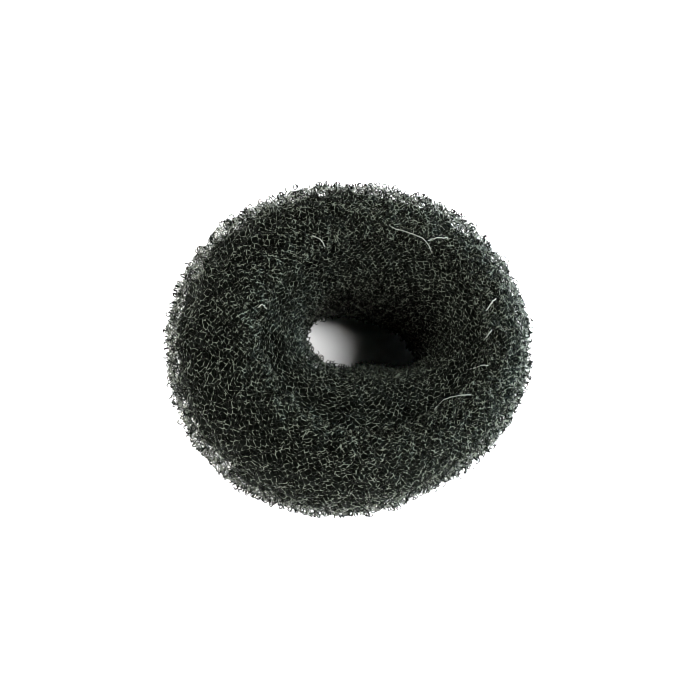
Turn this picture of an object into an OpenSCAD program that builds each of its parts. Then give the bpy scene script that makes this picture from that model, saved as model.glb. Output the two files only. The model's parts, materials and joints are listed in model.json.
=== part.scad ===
// Soft ring for shaping a hair bun, lying flat on a table.
// It is a sleeve of knitted mesh rolled up on itself. The roll shows round the hole, and the last
// turn of the sleeve wraps it from a crease on the crown, over the outside, to a crease underneath.

/* [Ring] */
// Mean diameter of the uneven outside
outer_d = 90; // [74:1:120]
// Mean diameter of the uneven hole that the ponytail goes through
hole_d = 24; // [14:1:34]
// Mean height of the ring as it lies
ring_h = 32; // [24:1:44]
// Squareness of the cross-section, where 2 is an ellipse
section_power = 2.3; // [2:0.1:3]
// Depth by which the soft underside has settled into a flat foot
foot_sink = 1.2; // [0.4:0.1:2]

/* [Turns of mesh] */
// Thickness of the last turn
turn_t = 3; // [2:0.5:6]
// Clearance between the last turn and the roll inside it
turn_gap = 0.3; // [0.2:0.1:0.6]
// Angle past the outermost line at which the last turn ends underneath, in degrees
under_end = 100; // [80:1:115]
// Angle in which the roll swells from a crease to its full section, in degrees
swell = 26; // [20:1:50]

/* [Resolution] */
// Sections round the ring
ring_steps = 60; // [36:12:72]
// Facets on the outside of the last turn
outside_steps = 20; // [12:1:24]
// Facets where the last turn and the roll face each other
inside_steps = 13; // [8:1:16]
// Facets on the part of the roll that shows
shown_steps = 16; // [12:1:20]

/* [Hidden] */

// One row for each direction round the hole, in even steps anticlockwise from +X.
// Outside and hole are shares of their mean radius, and height is a share of the mean height.
// Crease is the share of the way from hole to outside at which the last turn ends on the crown.
OUTSIDE = 0;
HOLE = 1;
HEIGHT = 2;
CREASE = 3;
rows = [
    // outside, hole, height, crease
    [0.955, 1.30, 1.01, 0.52],
    [0.975, 1.14, 1.01, 0.51],
    [0.985, 0.94, 1.00, 0.48],
    [0.957, 0.90, 0.99, 0.43],
    [0.974, 1.00, 0.99, 0.38],
    [1.010, 1.08, 0.98, 0.37],
    [1.030, 1.05, 0.99, 0.42],
    [1.030, 0.86, 0.99, 0.50],
    [0.995, 0.58, 1.00, 0.57],
    [0.916, 0.44, 1.01, 0.64],
    [0.857, 0.58, 1.02, 0.65],
    [0.900, 1.00, 1.02, 0.58],
];

// Smooth curve through one column of the rows, which closes on itself after a full turn
function at(column, a) =
    let (n = len(rows),
         x = a * n / 360,
         i = floor(x),
         f = x - i,
         p = [for (k = [-1:2]) rows[(i + k + n) % n][column]])
    p[1] + f / 2 * (p[2] - p[0] + f * (2 * p[0] - 5 * p[1] + 4 * p[2] - p[3]
        + f * (3 * (p[1] - p[2]) + p[3] - p[0])));

function outside_r(a) = outer_d / 2 * at(OUTSIDE, a);
function hole_r(a) = hole_d / 2 * at(HOLE, a);
function half_w(a) = (outside_r(a) - hole_r(a)) / 2;
function half_h(a) = (ring_h * at(HEIGHT, a) + foot_sink) / 2;

// Angle on the cross-section, from its outermost point upwards, at which the last turn ends on the crown
function crown_end(a) =
    let (q = 2 * at(CREASE, a) - 1)
    acos(sign(q) * pow(abs(q), section_power / 2));

// Point [distance from the hole's axis, height] at angle v on the cross-section, set in by a depth
function on_section(a, v, depth) =
    let (e = 2 / section_power,
         across = sign(cos(v)) * pow(abs(cos(v)), e),
         up = sign(sin(v)) * pow(abs(sin(v)), e))
    [hole_r(a) + half_w(a) + (half_w(a) - depth) * across,
     half_h(a) - foot_sink + (half_h(a) - depth) * up];

// Points of the rounded end of the last turn at angle v, where side is 1 on the crown and -1 below
function rounded_end(a, v, side) =
    let (outer = on_section(a, v, 0),
         inner = on_section(a, v, turn_t),
         middle = (outer + inner) / 2,
         out = (outer - inner) / 2,
         along = side * [-out[1], out[0]],
         turns = side > 0 ? [45, 90, 135] : [135, 90, 45])
    [for (u = turns) middle + cos(u) * out + sin(u) * along];

// Cross-section of the last turn, a curved wall with two rounded ends
function turn_section(a) =
    let (low = -under_end,
         high = crown_end(a))
    [for (i = [0:outside_steps]) on_section(a, low + (high - low) * i / outside_steps, 0),
     each rounded_end(a, high, 1),
     for (i = [inside_steps:-1:0]) on_section(a, low + (high - low) * i / inside_steps, turn_t),
     each rounded_end(a, low, -1)];

function smooth(x) =
    let (c = min(max(x, 0), 1))
    c * c * (3 - 2 * c);

// Depth of the roll's surface at angle v past the crown's crease, in a stretch that ends at the lower crease
function crease_depth(a, v, stretch) =
    let (clear = asin(min(1, (turn_t / 2 + turn_gap) / half_h(a))),
         from_end = min(v, stretch - v))
    (turn_t + turn_gap) * (1 - smooth((from_end - clear) / swell));

// Cross-section of the roll, under the last turn and then bare from crease to crease
function roll_section(a) =
    let (low = -under_end,
         high = crown_end(a),
         stretch = 360 + low - high)
    [for (i = [0:inside_steps - 1])
         on_section(a, low + (high - low) * i / inside_steps, turn_t + turn_gap),
     for (i = [0:shown_steps - 1])
         let (v = stretch * i / shown_steps)
         on_section(a, high + v, crease_depth(a, v, stretch))];

// The ring's box is centred on the origin, which isn't quite where the hole's axis is
outline = [for (i = [0:ring_steps - 1])
    let (a = 360 * i / ring_steps)
    outside_r(a) * [cos(a), sin(a)]];
centre_x = (max([for (p = outline) p[0]]) + min([for (p = outline) p[0]])) / 2;
centre_y = (max([for (p = outline) p[1]]) + min([for (p = outline) p[1]])) / 2;

// Joins closed cross-sections, one for each step round the ring, into one solid ring.
// What would lie below the table is flattened onto it.
module ring_of(sections) {
    n = len(sections);
    m = len(sections[0]);
    points = [for (i = [0:n - 1], p = sections[i])
        let (a = 360 * i / n)
        [p[0] * cos(a) - centre_x, p[0] * sin(a) - centre_y, max(p[1], 0)]];
    faces = [for (i = [0:n - 1], j = [0:m - 1])
        let (here = i * m,
             there = (i + 1) % n * m,
             k = (j + 1) % m)
        each [[here + j, here + k, there + j], [there + j, here + k, there + k]]];
    polyhedron(points, faces, convexity = 6);
}

// The last turn of the sleeve
module outer_turn() {
    color([0.17, 0.18, 0.17])
        ring_of([for (i = [0:ring_steps - 1]) turn_section(360 * i / ring_steps)]);
}

// The wound turns inside it, which show round the hole
module inner_roll() {
    color([0.12, 0.13, 0.12])
        ring_of([for (i = [0:ring_steps - 1]) roll_section(360 * i / ring_steps)]);
}

outer_turn();
inner_roll();
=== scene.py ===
import json
import math
from typing import NamedTuple

import bpy
import numpy as np
from mathutils import Matrix, Vector
from mathutils.bvhtree import BVHTree


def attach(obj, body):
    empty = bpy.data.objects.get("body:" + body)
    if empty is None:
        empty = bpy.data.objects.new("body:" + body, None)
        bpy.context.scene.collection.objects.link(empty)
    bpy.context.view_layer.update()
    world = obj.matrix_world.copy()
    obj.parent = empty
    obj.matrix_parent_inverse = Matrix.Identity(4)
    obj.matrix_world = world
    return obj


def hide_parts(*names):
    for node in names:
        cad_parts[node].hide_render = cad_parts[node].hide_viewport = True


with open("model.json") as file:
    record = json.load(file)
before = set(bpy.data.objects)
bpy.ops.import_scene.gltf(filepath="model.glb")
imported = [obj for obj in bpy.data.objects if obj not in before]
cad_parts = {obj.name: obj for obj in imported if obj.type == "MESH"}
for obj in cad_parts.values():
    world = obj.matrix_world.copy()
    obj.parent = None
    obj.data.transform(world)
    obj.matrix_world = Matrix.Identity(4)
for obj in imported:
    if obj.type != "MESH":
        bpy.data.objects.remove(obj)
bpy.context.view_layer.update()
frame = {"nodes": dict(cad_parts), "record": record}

# A soft ring rolled from a sleeve of coarse black nylon net, lying on pale paper. Each layer of net
# is made of separate strands, knitted side by side into cells. Short sprung loops lie in and over
# them, and under them is a dark core, the turns that are wound too densely to see between.
# Lengths are metres in the frame of the CAD model, with +Z up. Tables that say so hold mm.
MM = 0.001

# The camera looks down steeply, from the front and a little from the left
CAMERA_TILT = math.radians(25.0)  # off straight down
CAMERA_TURN = math.radians(65.0)  # of its foot round the ring, from -X towards -Y
CAMERA_DISTANCE = 405 * MM
CAMERA_AIM = Vector((0.0, -0.6, 15.0)) * MM
LENS_MM = 85.0
SENSOR_MM = 36.0

# Samples of the CAD model's skin
DIRECTIONS = 144  # round the ring
ANGLES = 240  # round the cross-section
PATH = 200  # steps along the skin of a zone

# Angle on the cross-section by which each net runs on past its creases
OVERLAP = math.radians(4.0)


# Grids and vectors

def smooth_step(x):
    """0 below 0, 1 above 1 and a smooth rise between."""
    x = np.clip(x, 0, 1)
    return x * x * (3 - 2 * x)


def unit(vectors, tiny=0.0):
    """The vectors at length 1. A tiny length added to theirs lets those of length 0 through."""
    return vectors / (np.linalg.norm(vectors, axis=-1, keepdims=True) + tiny)


def blurred(grid, axis, times, wrap=True):
    """The grid after a short blur along one axis, repeated. Without wrap its ends stay as they are."""
    for _ in range(times):
        new = (np.roll(grid, 1, axis) + 2 * grid + np.roll(grid, -1, axis)) / 4
        if not wrap:
            ends = [slice(None)] * grid.ndim
            for end in (0, -1):
                ends[axis] = end
                new[tuple(ends)] = grid[tuple(ends)]
        grid = new
    return grid


def even_steps(line, count):
    """Distances at so many even steps along a line of points, and the distance to each point."""
    length = np.concatenate([[0], np.cumsum(np.linalg.norm(np.diff(line, axis=0), axis=1))])
    return np.linspace(0, length[-1], count), length


def mixed(grid, i, j, f, g):
    """Values of a grid, closed along its first axis, at shares f and g of the way on from point (i, j)."""
    k = (i + 1) % grid.shape[0]
    here = grid[i, j] * (1 - g) + grid[i, j + 1] * g
    there = grid[k, j] * (1 - g) + grid[k, j + 1] * g
    return here * (1 - f) + there * f


def sampled(grid, turns, along):
    """Values of a zone's grid at places round the ring, in turns, and along the skin, from 0 to 1."""
    x = (turns % 1) * DIRECTIONS
    y = np.clip(along, 0, 1) * PATH
    i = np.floor(x).astype(int) % DIRECTIONS
    j = np.minimum(np.floor(y).astype(int), PATH - 1)
    return mixed(grid, i, j, (x - np.floor(x))[..., None], (y - j)[..., None])


def field(cells, turns, along):
    """Values of a coarse grid of cells at such places, which change smoothly from cell to cell."""
    across = cells.shape[0]
    x = (turns % 1) * across
    y = np.clip(along, 0, 1) * (cells.shape[1] - 2)
    i = np.floor(x).astype(int) % across
    j = np.floor(y).astype(int)
    found = mixed(cells, i, j, smooth_step(x - np.floor(x))[..., None], smooth_step(y - j)[..., None])
    return found[..., 0] if cells.shape[2] == 1 else found


def random_cells(random, across, down, count=1):
    """Random values from -1 to 1 for a field, with so many cells round the ring and along the skin."""
    return random.uniform(-1, 1, (across, down + 2, count))


def smooth_noise(random, turns, along, across, down, count=1):
    """Smooth random values from -1 to 1 at places on a zone."""
    return field(random_cells(random, across, down, count), turns, along)


# The skin of the CAD model

MISSED = 1e3  # metres, for a ray that meets nothing


def tree_of(node):
    """A search tree of a CAD node's faces."""
    mesh = frame["nodes"][node].data
    return BVHTree.FromPolygons([v.co for v in mesh.vertices], [p.vertices for p in mesh.polygons])


def reach(tree, start, towards):
    """Distance from start to the tree's first face in that direction."""
    hit = tree.ray_cast(Vector(start), Vector(towards))
    return MISSED if hit[0] is None else hit[3]


class Zone(NamedTuple):
    """A band of the skin round the whole ring: grids of points and outward normals, and its lobes."""
    points: np.ndarray
    normals: np.ndarray
    lobes: np.ndarray


class Skin:
    """The outline of both CAD nodes together, found by rays round the cross-section at each direction."""

    BEYOND = 80 * MM  # from the hole's axis to a place past the outside of the ring
    RAY_START = 40 * MM  # from the middle of the cross-section
    SHORT_OF_AXIS = 0.97  # of the way to the hole's axis, where a ray starts at most

    # Passes of blur, which take away the facets of the CAD model and round off its creases
    MIDDLE_BLUR = 4
    OUTLINE_BLUR = (2, 100)  # round the ring, and round the cross-section
    CREASE_BLUR = 3
    NORMAL_BLUR = (2, 6)  # round the ring, and along the skin

    def __init__(self):
        self.outer_tree = tree_of("outer_turn")
        self.inner_tree = tree_of("inner_roll")
        mounts = {m["name"]: m for m in frame["record"]["mounts"]}
        # A point on the hole's axis, at the height of the middle of the cross-section
        self.pole = np.array(mounts["ponytail_hole"]["pos_m"])
        self.direction = np.arange(DIRECTIONS) * 2 * math.pi / DIRECTIONS
        self.angle = np.arange(ANGLES) * 2 * math.pi / ANGLES
        # Distance from the axis to that middle for each direction, and from there to the skin
        self.middle = blurred(np.array([self.middle_radius(a) for a in self.direction]), 0, self.MIDDLE_BLUR)
        self.out = np.zeros((DIRECTIONS, ANGLES))
        self.is_roll = np.zeros((DIRECTIONS, ANGLES), bool)
        for i in range(DIRECTIONS):
            for j in range(ANGLES):
                self.out[i, j], self.is_roll[i, j] = self.outline_at(i, j)
        for axis, times in enumerate(self.OUTLINE_BLUR):
            self.out = blurred(self.out, axis, times)

    def middle_radius(self, a):
        """Distance from the hole's axis to the middle of the cross-section, in direction a."""
        way = np.array([math.cos(a), math.sin(a), 0])
        hole = reach(self.inner_tree, self.pole, way)
        outside = self.BEYOND - reach(self.outer_tree, self.pole + self.BEYOND * way, -way)
        return (hole + outside) / 2

    def centre(self, i):
        """Middle of the cross-section at direction i."""
        a = self.direction[i]
        return self.pole + self.middle[i] * np.array([math.cos(a), math.sin(a), 0])

    def outline_at(self, i, j):
        """Distance from that middle to the skin at angle j, and whether the roll is what shows there."""
        a = self.direction[i]
        v = self.angle[j]
        away = self.RAY_START
        if math.cos(v) < 0:
            away = min(away, self.SHORT_OF_AXIS * self.middle[i] / -math.cos(v))
        way = np.array([math.cos(v) * math.cos(a), math.cos(v) * math.sin(a), math.sin(v)])
        start = self.centre(i) + away * way
        turn = reach(self.outer_tree, start, -way)
        roll = reach(self.inner_tree, start, -way)
        return away - min(turn, roll), roll < turn

    def creases(self):
        """Angles on the cross-section of the crown's crease and of the lower one, for each direction."""
        half = ANGLES // 2
        crown = np.array([np.argmax(row[:half]) for row in self.is_roll])
        lower = np.array([np.argmax(row[::-1][:half]) for row in self.is_roll])
        crown = blurred(self.angle[crown], 0, self.CREASE_BLUR)
        lower = blurred(-(lower + 1) * 2 * math.pi / ANGLES, 0, self.CREASE_BLUR)
        return crown, lower

    def band(self, start, end):
        """Points and outward normals in even steps along the skin, between two angles at each direction."""
        points = np.zeros((DIRECTIONS, PATH + 1, 3))
        for i, a in enumerate(self.direction):
            v = np.linspace(start[i], end[i], 4 * PATH)
            out = np.interp(v % (2 * math.pi), np.append(self.angle, 2 * math.pi),
                            np.append(self.out[i], self.out[i, 0]))
            line = np.stack([self.middle[i] + out * np.cos(v), self.pole[2] + out * np.sin(v)], -1)
            even, length = even_steps(line, PATH + 1)
            away, up = (np.interp(even, length, line[:, k]) for k in (0, 1))
            points[i] = self.pole * (1, 1, 0) + np.stack([away * math.cos(a), away * math.sin(a), up], -1)
        round_ring = np.roll(points, -1, 0) - np.roll(points, 1, 0)
        normals = np.cross(np.gradient(points, axis=1), round_ring)
        normals = blurred(normals, 0, self.NORMAL_BLUR[0])
        normals = unit(blurred(normals, 1, self.NORMAL_BLUR[1], wrap=False))
        middle = np.array([self.centre(i) for i in range(DIRECTIONS)])[:, None]
        if ((points - middle) * normals).sum() < 0:
            normals = -normals
        return points, normals

    def zone(self, start, end, across, down, height, seed):
        """A band of the skin with low lobes over it, so many each way and up to a height."""
        lobes = height * random_cells(np.random.default_rng(seed), across, down)
        return Zone(*self.band(start, end), lobes)


def surface(zone, turns, along):
    """Points on a zone's skin, raised and sunk by its lobes, and the outward normals there."""
    out = unit(sampled(zone.normals, turns, along))
    lobes = field(zone.lobes, turns, along)[..., None]
    return sampled(zone.points, turns, along) + out * lobes, out


# Meshes

STRAND_SIDES = 3
TUBE_CORNERS = np.radians([90, 210, 330])
RIDGE_CORNERS = np.radians([0, 90, 180])
TINY = 1e-12  # length added so that none is divided by 0
PAPER_CLEARANCE = 0.02 * MM  # from the paper to the lowest strands


def mesh_object(name, points, quads, triangles=()):
    """A new smooth-shaded object from arrays of points and faces."""
    quads = np.asarray(quads, np.int32).reshape(-1, 4)
    triangles = np.asarray(triangles, np.int32).reshape(-1, 3)
    loops = np.concatenate([quads.ravel(), triangles.ravel()])
    sizes = np.concatenate([np.full(len(quads), 4), np.full(len(triangles), 3)])
    starts = np.concatenate([[0], np.cumsum(sizes)[:-1]]).astype(np.int32)
    mesh = bpy.data.meshes.new(name)
    mesh.vertices.add(len(points))
    mesh.vertices.foreach_set("co", np.asarray(points, np.float32).ravel())
    mesh.loops.add(len(loops))
    mesh.loops.foreach_set("vertex_index", loops)
    mesh.polygons.add(len(sizes))
    mesh.polygons.foreach_set("loop_start", starts)
    mesh.polygons.foreach_set("use_smooth", np.ones(len(sizes), bool))
    mesh.update(calc_edges=True)
    mesh.validate()
    piece = bpy.data.objects.new(name, mesh)
    bpy.context.scene.collection.objects.link(piece)
    return piece


def strand_object(name, lines, normals, radius, tube):
    """One object of many thin strands, each along a row of points.

    lines and normals are arrays of (strands, points, 3), and radius fits an array of (strands, points).
    A strand is a closed tube of three sides. Where tube is false it is a ridge of two sides, open below.
    """
    count, steps = lines.shape[:2]
    along = unit(np.gradient(lines, axis=1), TINY)
    aside = unit(np.cross(along, normals), TINY)
    up = np.cross(aside, along)
    corners = TUBE_CORNERS if tube else RIDGE_CORNERS
    offsets = np.cos(corners)[:, None] * aside[:, :, None] + np.sin(corners)[:, None] * up[:, :, None]
    radius = np.broadcast_to(radius, (count, steps))[..., None, None]
    rings = lines[:, :, None] + radius * offsets
    rings[..., 2] = np.maximum(rings[..., 2], PAPER_CLEARANCE)

    start = (np.arange(count) * steps * STRAND_SIDES)[:, None, None]
    ring = start + (np.arange(steps - 1) * STRAND_SIDES)[None, :, None]
    here = np.arange(STRAND_SIDES if tube else STRAND_SIDES - 1)[None, None]
    there = (here + 1) % STRAND_SIDES
    after = ring + STRAND_SIDES
    quads = np.stack([ring + here, ring + there, after + there, after + here], -1)
    first = start[:, 0] + np.arange(STRAND_SIDES)
    last = first + (steps - 1) * STRAND_SIDES
    caps = np.concatenate([first[:, ::-1], last]) if tube else ()
    return mesh_object(name, rings.reshape(-1, 3), quads, caps)


# Knitted net

class Layer(NamedTuple):
    """A layer of net in a zone. Its depth, radius, relief and bend are in mm."""
    strands: int  # side by side round the ring
    cells: int  # along each strand
    depth: float  # under the skin
    radius: float  # of a strand
    uneven: float  # how far the stitches wander, where 1 is about a cell
    steps: int  # along each cell
    relief: float  # height of random waves over a cell or two
    bend: float  # size of the small random bends
    longer_midway: float  # by which cells are longer half way between the creases, as a share
    black: str  # its material
    seed: int


# How strands lie in a net. Pairs are first round the ring, in shares of the space between two
# strands, and then along the skin, in shares of a cell.
LEAN = 0.48  # of each strand towards the neighbour that it meets, in such spaces
LEAN_STEEPNESS = 1.5  # of the wave that leans it, which is cut off at 1 so that it stays there a while
DRIFT = (0.7, 0.35)  # slow wander
DRIFT_SPAN = (6, 4)  # cells over which that changes
SHAKE = (2.0, 1.0)  # wander from cell to cell, times the layer's unevenness
FINE_SHAKE = (1.0, 0.5)  # and within a cell
COARSE_WAVES = 0.7  # share of the relief that changes from cell to cell
FINE_WAVES = 0.5  # and within a cell
STITCH_HEIGHT = 0.22 * MM  # by which a strand rises and falls twice in each cell
FIRMNESS = 1.5  # a stitch lies flatter where this and its shake add up to less than 1
NEIGHBOUR_STEP = 0.3  # of odd strands over the middle height, and of even ones under it, in radii
THICKNESS_SPREAD = 0.2  # of a strand's radius, as a share

# Where a net ends, its strands dive under the one next to it
TUCK_SHARE = 0.035  # of the way along the zone, within which every strand begins to dive
TUCK_FADE = 0.4  # of that, over which they dive
TUCK_DEPTH = 2.2 * MM


def tuck(random, t, strands):
    """How far each strand has dived beside its creases, from 0 to 1, at ragged places."""
    begins, ends = (blurred(e, 0, 1) for e in random.uniform(0, TUCK_SHARE, (2, strands, 1)))
    fade = TUCK_FADE * TUCK_SHARE
    return smooth_step((begins - t) / fade) + smooth_step((t - 1 + ends) / fade)


def net(name, zone, layer):
    """A layer of knitted net along a zone of the skin.

    Each strand runs from crease to crease and meets its left and its right neighbour in turn, which
    leaves six-sided cells between them.
    """
    random = np.random.default_rng(layer.seed)
    t = np.arange(layer.cells * layer.steps + 1) / (layer.cells * layer.steps)
    strand = np.arange(layer.strands)[:, None]
    side = np.where(strand % 2 == 1, -1, 1)
    # Half a step on, so that two points of each cell lie at each neighbour, and whole steps at random
    phase = 0.5 / layer.steps + random.integers(layer.steps) / layer.steps
    wave = 2 * math.pi * (t * layer.cells + phase)
    lean = np.clip(LEAN_STEEPNESS * np.sin(wave), -1, 1)[None] * side
    turns = (strand + 0.5 + random.uniform() + LEAN * lean) / layer.strands
    along = t - layer.longer_midway * np.sin(2 * math.pi * t) / (2 * math.pi)
    along = np.broadcast_to(along, turns.shape)

    across = layer.strands // 2
    down = layer.cells
    drift = smooth_noise(random, turns, along, across // DRIFT_SPAN[0], down // DRIFT_SPAN[1], 2)
    shake = smooth_noise(random, turns, along, across, down, 2)
    fine = smooth_noise(random, turns, along, across * 2, down * 2, 2)
    aside, onward = (DRIFT[k] * drift[..., k]
                     + layer.uneven * (SHAKE[k] * shake[..., k] + FINE_SHAKE[k] * fine[..., k])
                     for k in (0, 1))
    turns = turns + aside / layer.strands
    along = np.clip(along + onward / down, 0.0, 1.0)

    base, out = surface(zone, turns, along)
    waves = COARSE_WAVES * smooth_noise(random, turns, along, across, down)
    waves = waves + FINE_WAVES * smooth_noise(random, turns, along, across * 2, down * 2)
    stitches = STITCH_HEIGHT * np.cos(2 * wave) * smooth_step(FIRMNESS + shake[..., 0])
    rise = layer.relief * MM * waves + stitches
    rise = rise - NEIGHBOUR_STEP * layer.radius * MM * side
    rise = rise - TUCK_DEPTH * tuck(random, t, layer.strands)
    bends = random.normal(size=(*turns.shape, 3)) * (layer.bend * MM)
    lines = base - out * (layer.depth * MM - rise)[..., None] + bends
    thickness = 1 + THICKNESS_SPREAD * smooth_noise(random, turns, along, across, down * 2)
    return strand_object(name, lines, out, layer.radius * MM * thickness, tube=False)


# Sprung loops

class Curls(NamedTuple):
    """Many short curled strands in a zone. Their depths, radius and sizes are in mm."""
    name: str
    count: int
    depths: tuple  # least and greatest, under the skin
    radius: float  # of the strand
    sizes: tuple  # least and greatest radius of a curl, at its start
    points: int  # along each
    upright: float  # share that stand on edge, where the rest lie at every angle
    tube: bool  # closed all round, because its underside shows
    black: str  # their material
    seed: int


CURL_TURN = (1.0, 1.6)  # least and greatest angle of a curl's arc, in half turns
CURL_OPENING = 0.25  # by which its radius grows in each half turn, as a share
CURL_PITCH = 0.2 * MM  # by which it moves along its axis in each radian, at most
SPREAD_STEPS = (0.7548776662, 0.5698402910)  # of a sequence that fills a square evenly
SPREAD_JITTER = 0.35  # of a curl's place, as a share of the space between two
SPREAD_MARGIN = 0.01  # of the way along the zone, kept free beside each crease


def evenly_spread(count, random):
    """Places from 0 to 1 round the ring and along the skin, spread evenly with some jitter."""
    turns, along = ((np.arange(count) * step
                     + random.uniform(-SPREAD_JITTER, SPREAD_JITTER, count) / math.sqrt(count)) % 1
                    for step in SPREAD_STEPS)
    return turns, SPREAD_MARGIN + (1 - 2 * SPREAD_MARGIN) * along


def curled_strands(name, zone, kind):
    """Short curled strands in and just over a zone, each an arc that opens out like a spring."""
    random = np.random.default_rng(kind.seed)
    base, out = surface(zone, *evenly_spread(kind.count, random))
    axis = random.normal(size=(kind.count, 3))
    level = axis - (axis * out).sum(-1, keepdims=True) * out
    percent = (np.arange(kind.count) % 100)[:, None]
    axis = unit(np.where(percent < 100 * kind.upright, level, axis))
    side = unit(np.cross(axis, random.normal(size=(kind.count, 3))))
    up = np.cross(axis, side)
    arc = (random.uniform(*CURL_TURN, kind.count) * math.pi)[:, None]
    angle = arc * np.linspace(0, 1, kind.points)[None]
    size = random.uniform(*kind.sizes, kind.count)[:, None] * MM * (1 + CURL_OPENING * angle / math.pi)
    pitch = random.uniform(-CURL_PITCH, CURL_PITCH, kind.count)[:, None] * angle
    centre = base - out * random.uniform(*kind.depths, kind.count)[:, None] * MM
    lines = (centre[:, None] + side[:, None] * (size * np.cos(angle))[..., None]
             + up[:, None] * (size * np.sin(angle))[..., None] + axis[:, None] * pitch[..., None])
    normals = axis[:, None] * np.ones((1, kind.points, 1))
    return strand_object(name, lines, normals, kind.radius * MM, kind.tube)


# Loose strands

LOOSE_POINTS = 12  # along each
LOOSE_RADIUS = 0.13 * MM
LOOSE_LIFT = 0.7 * MM  # of their middles over their ends
LOOSE_ENDS = 0.4  # of that, by which the ends lie over the CAD model
LOOSE_BEND = 0.08 * MM
PLAN_BLUR = 2  # passes that round off their corners in plan
CROWN_BLUR = 4  # and that even out the height of the crown under them
ABOVE_RING = 60 * MM  # where rays down to the crown start


def loose_strands(name, plans, seed):
    """Long strands that lie loose on the crown, through points given in plan, in mm."""
    random = np.random.default_rng(seed)
    trees = [tree_of(node) for node in ("outer_turn", "inner_roll")]
    bow = np.sin(np.linspace(0, math.pi, LOOSE_POINTS))
    lines = []
    for plan in plans:
        plan = np.array(plan) * MM
        even, length = even_steps(plan, LOOSE_POINTS)
        xy = np.stack([np.interp(even, length, plan[:, k]) for k in (0, 1)], -1)
        xy = blurred(xy, 0, PLAN_BLUR, wrap=False)
        drops = [min(reach(tree, (*p, ABOVE_RING), (0, 0, -1)) for tree in trees) for p in xy]
        crown = blurred(ABOVE_RING - np.array(drops), 0, CROWN_BLUR, wrap=False)
        line = np.column_stack([xy, crown + LOOSE_LIFT * (LOOSE_ENDS + bow)])
        lines.append(line + random.normal(scale=LOOSE_BEND, size=line.shape))
    lines = np.array(lines)
    up = np.broadcast_to((0.0, 0.0, 1.0), lines.shape)
    return strand_object(name, lines, up, LOOSE_RADIUS, tube=True)


# The core

CORE_DEPTH = 2.9 * MM  # under the skin
CORE_SWELL = 0.75 * MM  # standard deviation of its uneven surface from that
CORE_SWELL_MOST = 1.6  # its most, in standard deviations
CORE_LOWEST = 1.0 * MM  # over the paper
CORE_BLUR = 8  # passes round the cross-section
CORE_NORMAL_BLUR = 10
SWELL_BLUR = (1, 8)  # passes round the ring, and round the cross-section
CORE_STEP = 2  # points of the skin to one of the core, round the cross-section


def wound_turns(name, skin, lower_crease, seed):
    """The closed surface of the turns under the nets, as uneven as wound net."""
    # The band runs right round the cross-section, so its last point is its first again
    points, normals = (grid[:, :-1] for grid in skin.band(lower_crease, lower_crease + 2 * math.pi))
    normals = blurred(normals, 1, CORE_NORMAL_BLUR)
    swell = np.random.default_rng(seed).uniform(-1, 1, (DIRECTIONS, PATH, 1))
    for axis, times in enumerate(SWELL_BLUR):
        swell = blurred(swell, axis, times)
    swell = np.clip(swell / swell.std(), -CORE_SWELL_MOST, CORE_SWELL_MOST) * CORE_SWELL
    points = blurred(points - normals * CORE_DEPTH, 1, CORE_BLUR) + normals * swell
    points[..., 2] = np.maximum(points[..., 2], CORE_LOWEST)
    points = points[:, ::CORE_STEP]
    n, m = points.shape[:2]
    i, j = np.meshgrid(np.arange(n), np.arange(m), indexing="ij")
    here = i * m
    there = (i + 1) % n * m
    k = (j + 1) % m
    quads = np.stack([here + j, here + k, there + k, there + j], -1)
    return mesh_object(name, points.reshape(-1, 3), quads)


# Materials

# The colour noise spots the net strands with painted glints, which come and go about once in 1 mm
COLOR_SCALE = 1200.0  # noise scales are cells in a metre, so the colour changes about once in 1 mm
ROUGHNESS_SCALE = 2500.0
BUMP_SCALE = 5000.0
CLOUD_SCALE = 60.0
# At the lightest, a net strand shows its painted glint in full
DARK_AT = 0.46  # noise at which a strand is darkest
LIGHT_AT = 0.61  # and lightest
ROUGHNESS_SPREAD = (-0.1, 0.12)
BUMP_STRENGTH = 0.4
BUMP_DEPTH = 0.02 * MM
BLACK_TINT = (0.9, 1.0, 0.8)  # of the nylon, which is a little green
GLEAM_TINT = (0.86, 1.0, 0.8, 1)
BLACK_ROUGHNESS = 0.34


def new_material(name):
    """A material with one shader, its node tree and that shader."""
    material = bpy.data.materials.new(name)
    material.use_nodes = True
    tree = material.node_tree
    tree.nodes.clear()
    output = tree.nodes.new("ShaderNodeOutputMaterial")
    shader = tree.nodes.new("ShaderNodeBsdfPrincipled")
    tree.links.new(shader.outputs["BSDF"], output.inputs["Surface"])
    return material, tree, shader


def noise(tree, scale, detail=2.0):
    """Noise from 0 to 1 that is fixed to the object."""
    place = tree.nodes.new("ShaderNodeTexCoord")
    texture = tree.nodes.new("ShaderNodeTexNoise")
    texture.inputs["Scale"].default_value = scale
    texture.inputs["Detail"].default_value = detail
    tree.links.new(place.outputs["Object"], texture.inputs["Vector"])
    return texture.outputs["Fac"]


def ramp(tree, factor, stops):
    """Colours that follow a factor between two stops, each a place and a colour."""
    node = tree.nodes.new("ShaderNodeValToRGB")
    for element, (place, color) in zip(node.color_ramp.elements, stops):
        element.position = place
        element.color = (*color, 1)
    tree.links.new(factor, node.inputs["Fac"])
    return node.outputs["Color"]


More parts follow.
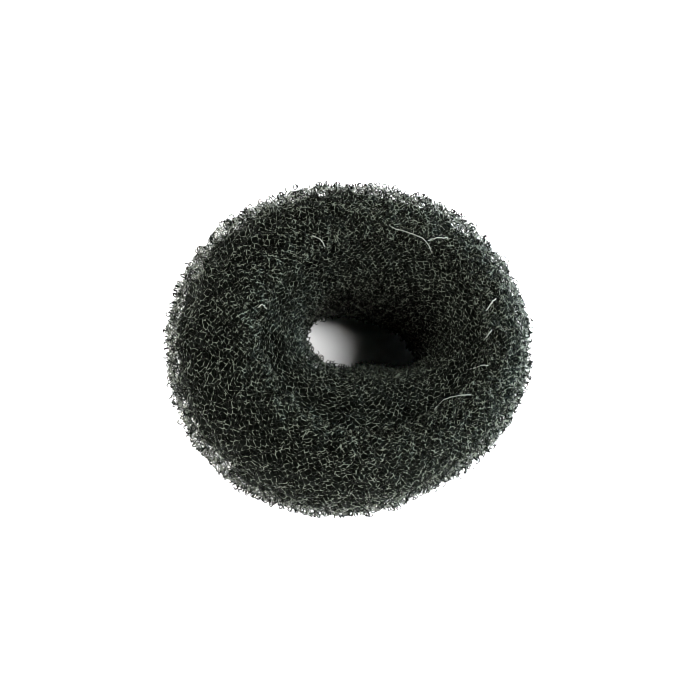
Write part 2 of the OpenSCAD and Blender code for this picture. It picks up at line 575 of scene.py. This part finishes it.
def nylon(name, dark, light, roughness, specular):
    """Nylon strand: a colour between two in spots along it, and a satin gleam that breaks up along it. A
    light grey in it is a painted glint on the black nylon.
    """
    material, tree, shader = new_material(name)
    color = ramp(tree, noise(tree, COLOR_SCALE), [(DARK_AT, dark), (LIGHT_AT, light)])
    tree.links.new(color, shader.inputs["Base Color"])
    rough = tree.nodes.new("ShaderNodeMapRange")
    rough.inputs["To Min"].default_value = roughness + ROUGHNESS_SPREAD[0]
    rough.inputs["To Max"].default_value = roughness + ROUGHNESS_SPREAD[1]
    tree.links.new(noise(tree, ROUGHNESS_SCALE), rough.inputs["Value"])
    tree.links.new(rough.outputs["Result"], shader.inputs["Roughness"])
    bump = tree.nodes.new("ShaderNodeBump")
    bump.inputs["Strength"].default_value = BUMP_STRENGTH
    bump.inputs["Distance"].default_value = BUMP_DEPTH
    tree.links.new(noise(tree, BUMP_SCALE), bump.inputs["Height"])
    tree.links.new(bump.outputs["Normal"], shader.inputs["Normal"])
    shader.inputs["Specular IOR Level"].default_value = specular
    shader.inputs["Specular Tint"].default_value = GLEAM_TINT
    return material


def black_nylon(name, dark, light, specular):
    """Nylon of the net: its black, lightened in spots to a grey of its tint that is a painted glint."""
    dark, light = (tuple(grey * c for c in BLACK_TINT) for grey in (dark, light))
    return nylon(name, dark, light, BLACK_ROUGHNESS, specular)


def white_paper():
    """Matt paper with faint clouds in its white."""
    material, tree, shader = new_material("white_paper")
    clouds = noise(tree, CLOUD_SCALE, detail=4.0)
    color = ramp(tree, clouds, [(0.0, (0.86, 0.86, 0.855)), (1.0, (0.9, 0.9, 0.895))])
    tree.links.new(color, shader.inputs["Base Color"])
    shader.inputs["Roughness"].default_value = 0.9
    shader.inputs["Specular IOR Level"].default_value = 0.1
    return material


# The object

class Part(NamedTuple):
    """What stands for one CAD node."""
    name: str
    node: str
    slot: str
    zone: Zone
    layers: list
    curls: list


cad_skin = Skin()
crown_crease, lower_crease = cad_skin.creases()

# Curls fill the nets, and hooks stand up out of them and make the outline ragged. The strands on top
# carry the brightest painted glints and the deeper ones are painted darker, a painted shade under them,
# so that the cells stand out against what is under them.
OUTER = Part(
    name="outer", node="outer_turn", slot="mesh_outer",
    zone=cad_skin.zone(lower_crease - OVERLAP, crown_crease + OVERLAP,
                       across=110, down=24, height=0.8 * MM, seed=11),
    layers=[
        Layer(strands=320, cells=37, depth=0.5, radius=0.1, uneven=0.42, steps=4, relief=0.85, bend=0.08,
              longer_midway=0.22, black="outer", seed=100),
        Layer(strands=180, cells=25, depth=1.5, radius=0.11, uneven=0.5, steps=5, relief=0.9, bend=0.1,
              longer_midway=0.22, black="deep", seed=101),
    ],
    curls=[
        Curls("curls", count=5000, depths=(0.3, 1.4), radius=0.1, sizes=(0.28, 0.48), points=5,
              upright=0.1, tube=False, black="curl", seed=301),
        Curls("hooks", count=3600, depths=(-0.4, 0.5), radius=0.165, sizes=(0.32, 0.58), points=6,
              upright=1.0, tube=True, black="deep", seed=303),
    ],
)
INNER = Part(
    name="inner", node="inner_roll", slot="mesh_inner",
    zone=cad_skin.zone(crown_crease - OVERLAP, lower_crease + OVERLAP + 2 * math.pi,
                       across=60, down=20, height=0.4 * MM, seed=12),
    layers=[
        Layer(strands=184, cells=33, depth=0.5, radius=0.095, uneven=0.38, steps=4, relief=0.45, bend=0.07,
              longer_midway=0.0, black="inner", seed=200),
        Layer(strands=110, cells=24, depth=1.3, radius=0.11, uneven=0.4, steps=5, relief=0.5, bend=0.1,
              longer_midway=0.0, black="deep", seed=201),
    ],
    curls=[
        Curls("curls", count=2000, depths=(0.3, 1.1), radius=0.1, sizes=(0.25, 0.42), points=5,
              upright=0.2, tube=False, black="curl", seed=302),
        Curls("hooks", count=1500, depths=(-0.3, 0.5), radius=0.12, sizes=(0.3, 0.5), points=5,
              upright=1.0, tube=True, black="deep", seed=304),
    ],
)

# Loose strands that lie across the crown, as points in plan in mm
LOOSE_STRANDS = [
    [(7.0, 25.4), (9.3, 24.1), (12.5, 23.6), (14.4, 22.8), (16.0, 21.5), (18.0, 19.9)],
    [(15.9, 22.5), (18.1, 23.0), (21.0, 23.5)],
    [(32.5, 8.4), (30.9, 6.6), (30.0, 5.0)],
    [(31.1, -0.1), (29.8, -1.7)],
    [(25.2, -9.9), (26.9, -9.3), (28.3, -9.2), (29.8, -9.4)],
    [(17.1, -20.6), (18.5, -18.6), (20.4, -17.4), (22.6, -17.1), (25.4, -17.3)],
    [(-12.3, 21.2), (-10.5, 20.0), (-8.7, 19.5)],
    [(-25.2, 1.4), (-22.3, 2.8)],
]

# Lit and shaded copies of one black nylon, as painted light and shade. The lighter grey of each is a painted
# glint: brightest on the top strands of the outer net, dimmer on the inner roll as its painted shade, dimmer
# still on the curls in the gaps, and almost gone on the deep strands and the hooks.
BLACKS = {
    "outer": black_nylon("nylon_strand_0", dark=0.0006, light=0.2, specular=0.17),
    "deep": black_nylon("nylon_strand_1", dark=0.0003, light=0.008, specular=0.02),
    "inner": black_nylon("nylon_strand_2", dark=0.0006, light=0.135, specular=0.14),
    "curl": black_nylon("nylon_strand_3", dark=0.0006, light=0.04, specular=0.03),
}
# Pale grey on black strands that lie loose over the crown: a painted highlight, as if lit all along
LOOSE_PAINTED_HIGHLIGHT_NYLON = nylon("loose_nylon_painted_highlight", dark=(0.35, 0.37, 0.34), light=(0.6, 0.62, 0.58),
                    roughness=0.3, specular=1.0)
CORE_BLACK = nylon("wound_core", dark=(0.001, 0.0015, 0.001), light=(0.003, 0.004, 0.003),
                   roughness=0.7, specular=0.05)

pieces = []


def dress(piece, material, part):
    """Gives a piece its material, hides the CAD node that it stands for and adds it to the pieces."""
    piece.data.materials.append(material)
    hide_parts(part.node)
    pieces.append(piece)


for part in (OUTER, INNER):
    for k, layer in enumerate(part.layers):
        dress(net(f"{part.name}_net_{k + 1}", part.zone, layer), BLACKS[layer.black], part)
for part in (OUTER, INNER):
    for kind in part.curls:
        dress(curled_strands(f"{part.name}_{kind.name}", part.zone, kind), BLACKS[kind.black], part)
dress(loose_strands("loose_strands", LOOSE_STRANDS, seed=401), LOOSE_PAINTED_HIGHLIGHT_NYLON, OUTER)
wound = wound_turns("wound_core", cad_skin, lower_crease, seed=501)
dress(wound, CORE_BLACK, INNER)

for piece in pieces:
    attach(piece, "root")


# The studio

LAMP_AIM = Vector((0, 0, 15 * MM))  # the middle of the ring
LAMP_DISTANCE = 1.0  # from there


def paper_floor(size):
    """A plain pale floor that the ring lies on."""
    half = size / 2
    mesh = bpy.data.meshes.new("floor")
    mesh.from_pydata([(-half, -half, 0), (half, -half, 0), (half, half, 0), (-half, half, 0)],
                     [], [(0, 1, 2, 3)])
    mesh.materials.append(white_paper())
    floor = bpy.data.objects.new("floor", mesh)
    bpy.context.scene.collection.objects.link(floor)
    return floor


def soft_sky(low, high, strength, color):
    """World light of one strength up to a low height, which fades out towards a high one."""
    world = bpy.data.worlds.new("studio")
    bpy.context.scene.world = world
    world.use_nodes = True
    nodes, links = world.node_tree.nodes, world.node_tree.links
    nodes.clear()
    output = nodes.new("ShaderNodeOutputWorld")
    background = nodes.new("ShaderNodeBackground")
    background.inputs["Color"].default_value = (*color, 1)
    place = nodes.new("ShaderNodeTexCoord")
    split = nodes.new("ShaderNodeSeparateXYZ")
    fade = nodes.new("ShaderNodeMapRange")
    fade.interpolation_type = "SMOOTHSTEP"
    fade.inputs["From Min"].default_value = low
    fade.inputs["From Max"].default_value = high
    fade.inputs["To Min"].default_value = strength
    fade.inputs["To Max"].default_value = 0.0
    links.new(place.outputs["Generated"], split.inputs["Vector"])
    links.new(split.outputs["Z"], fade.inputs["Value"])
    links.new(fade.outputs["Result"], background.inputs["Strength"])
    links.new(background.outputs["Background"], output.inputs["Surface"])


def lamp_towards(light, azimuth, elevation):
    """A lamp in a direction from the ring, turned towards it. Azimuth goes from +X, in degrees."""
    a, e = math.radians(azimuth), math.radians(elevation)
    back = Vector((math.cos(e) * math.cos(a), math.cos(e) * math.sin(a), math.sin(e)))
    lamp = bpy.data.objects.new(light.name, light)
    lamp.location = back * LAMP_DISTANCE + LAMP_AIM
    lamp.rotation_mode = "QUATERNION"
    lamp.rotation_quaternion = back.to_track_quat("Z", "Y")
    bpy.context.scene.collection.objects.link(lamp)
    return lamp


def softbox(name, azimuth, elevation, size, power, color=(1, 1, 1)):
    """A square soft light."""
    light = bpy.data.lights.new(name, "AREA")
    light.energy = power
    light.size = size
    light.color = color
    lamp_towards(light, azimuth, elevation)


def floor_lights(floor, count, power, elevation, width):
    """Low suns all round that reach only the paper, as bright as a photographer's backdrop."""
    paper = bpy.data.collections.new("paper")
    bpy.context.scene.collection.children.link(paper)
    paper.objects.link(floor)
    for k in range(count):
        light = bpy.data.lights.new(f"floor_light_{k}", "SUN")
        light.energy = power
        light.angle = math.radians(width)
        lamp = lamp_towards(light, 360 * (k + 0.5) / count, elevation)
        lamp.light_linking.receiver_collection = paper


def photo_camera():
    """The camera at the photograph's place, with +Y up in the picture."""
    camera = bpy.data.cameras.new("camera")
    camera.lens = LENS_MM
    camera.sensor_width = SENSOR_MM
    camera.clip_start = 0.01
    camera.clip_end = 20.0
    back = Vector((-math.sin(CAMERA_TILT) * math.cos(CAMERA_TURN),
                   -math.sin(CAMERA_TILT) * math.sin(CAMERA_TURN),
                   math.cos(CAMERA_TILT)))
    right = (-back).cross(Vector((0, 1, 0))).normalized()
    up = right.cross(-back)
    turned = Matrix((right, up, back)).transposed().to_4x4()
    eye = bpy.data.objects.new("camera", camera)
    eye.matrix_world = Matrix.Translation(CAMERA_AIM + back * CAMERA_DISTANCE) @ turned
    bpy.context.scene.collection.objects.link(eye)
    bpy.context.scene.camera = eye


floor = paper_floor(size=8.0)
soft_sky(low=0.2, high=0.5, strength=2.4, color=(0.97, 1.0, 1.0))
softbox("key", azimuth=-13, elevation=50.5, size=0.32, power=14.1)
softbox("fill", azimuth=125, elevation=18, size=0.9, power=10.0, color=(0.93, 1.0, 0.91))
softbox("rim", azimuth=8, elevation=9, size=0.5, power=21.0, color=(0.58, 0.84, 1.0))
softbox("front", azimuth=262, elevation=36, size=0.35, power=2.3, color=(1.0, 1.0, 0.94))
floor_lights(floor, count=8, power=2.6, elevation=28, width=20)
photo_camera()

bpy.context.scene.view_settings.view_transform = "Standard"
bpy.context.scene.view_settings.look = "None"
bpy.context.scene.view_settings.exposure = 0.0
bpy.context.scene.cycles.filter_width = 0.9  # of a pixel, which keeps the strands crisp
